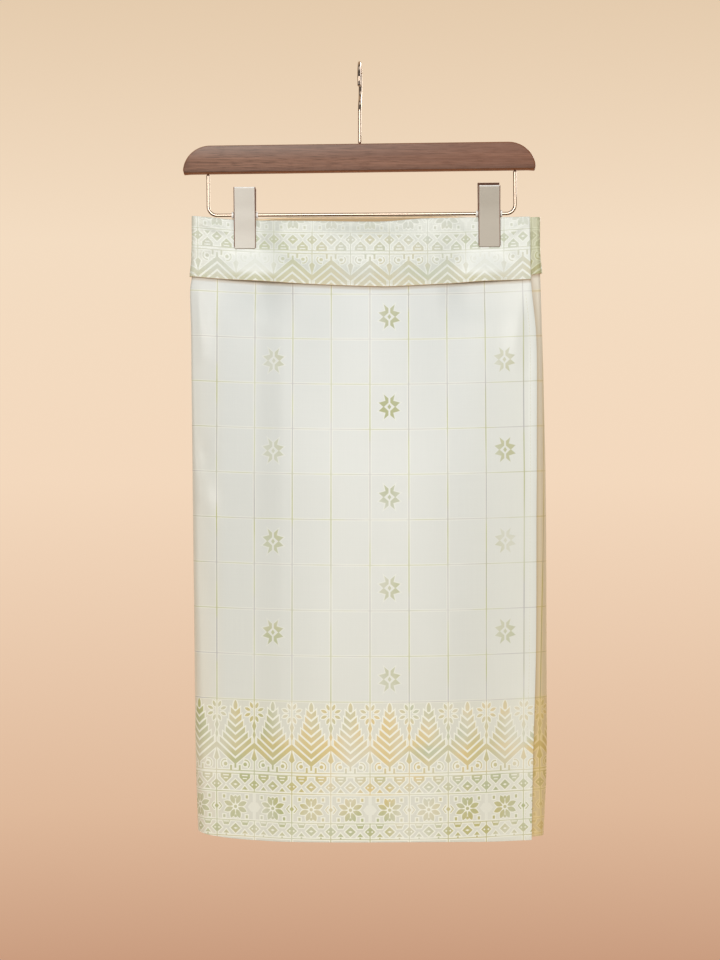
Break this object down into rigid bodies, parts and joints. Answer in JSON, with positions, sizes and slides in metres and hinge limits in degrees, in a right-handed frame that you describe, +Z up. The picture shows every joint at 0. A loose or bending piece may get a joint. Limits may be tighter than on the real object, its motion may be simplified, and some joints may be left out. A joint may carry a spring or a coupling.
{
  "type": "samping on a clip hanger",
  "caption": "Short wrapped sarong of figured brocade with a lapped front and folded waistband, hanging flat from a wooden clip hanger.",
  "frame": {"origin": "the inside top of the hook, where a rail carries the hanger", "axes": "+Z up, +X to the right as seen from the front, the front of the garment faces -Y"},
  "size_m": [0.3725, 0.0668, 0.7939],
  "materials": {
    "brocade": "satin-faced ivory brocade with a sage and gold check, stars and bamboo-shoot border",
    "waistband_brocade": "the same ivory brocade, border figured, folded and pressed",
    "under_brocade": "the same brocade, turned away and warmer in tone",
    "walnut": "dark walnut stain, satin lacquer",
    "polished_wire": "polished plated wire",
    "satin_nickel": "brushed satin nickel sheet"
  },
  "bodies": {
    "root": {"front_lap": "brocade", "back_body": "brocade", "under_lap": "under_brocade", "front_waistband": "waistband_brocade", "back_waistband": "waistband_brocade", "under_waistband": "under_brocade", "hanger_bar": "walnut", "hook": "polished_wire", "clip_rail": "polished_wire", "clip_left_front_plate": "satin_nickel", "clip_left_back_plate": "satin_nickel", "clip_left_barrel": "polished_wire", "clip_right_front_plate": "satin_nickel", "clip_right_back_plate": "satin_nickel", "clip_right_barrel": "polished_wire"}
  },
  "joints": []
}
